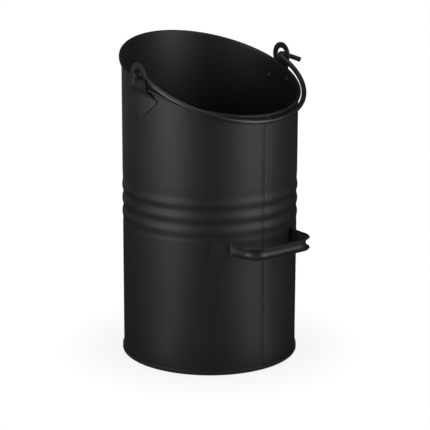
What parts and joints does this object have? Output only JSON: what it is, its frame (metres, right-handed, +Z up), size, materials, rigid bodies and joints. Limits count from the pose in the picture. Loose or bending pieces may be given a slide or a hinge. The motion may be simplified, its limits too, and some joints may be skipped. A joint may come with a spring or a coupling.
{
  "type": "coal scuttle",
  "caption": "Tall round sheet steel coal scuttle with a slanted rolled mouth, a swinging wire bail in riveted ears and a tipping handle.",
  "frame": {"origin": "on the floor under the middle of the round body, at the centre of the ring that it stands on", "axes": "+Z up the body's axis, -Y towards the low side of the mouth with the side seam and the tipping handle, +Y towards the high lip, +X along the bail's axis"},
  "size_m": [0.2718, 0.2634, 0.3999],
  "materials": {
    "painted_sheet": "satin",
    "painted_fittings": "satin",
    "painted_wire": "satin",
    "steel_wire": "satin"
  },
  "bodies": {
    "scuttle": {"body_shell": "painted_sheet", "rim_wire": "steel_wire", "bottom_pan": "painted_sheet", "left_ear": "painted_fittings", "right_ear": "painted_fittings", "left_ear_rivets": "painted_fittings", "right_ear_rivets": "painted_fittings", "tipping_handle": "painted_fittings"},
    "bail": {"bail": "painted_wire"}
  },
  "joints": [
    {"name": "bail_swing", "type": "hinge", "parent": "scuttle", "child": "bail", "pos_m": [0, -0.0038, 0.37374], "axis": [-1, 0, 0], "range_deg": [0, 194]}
  ]
}
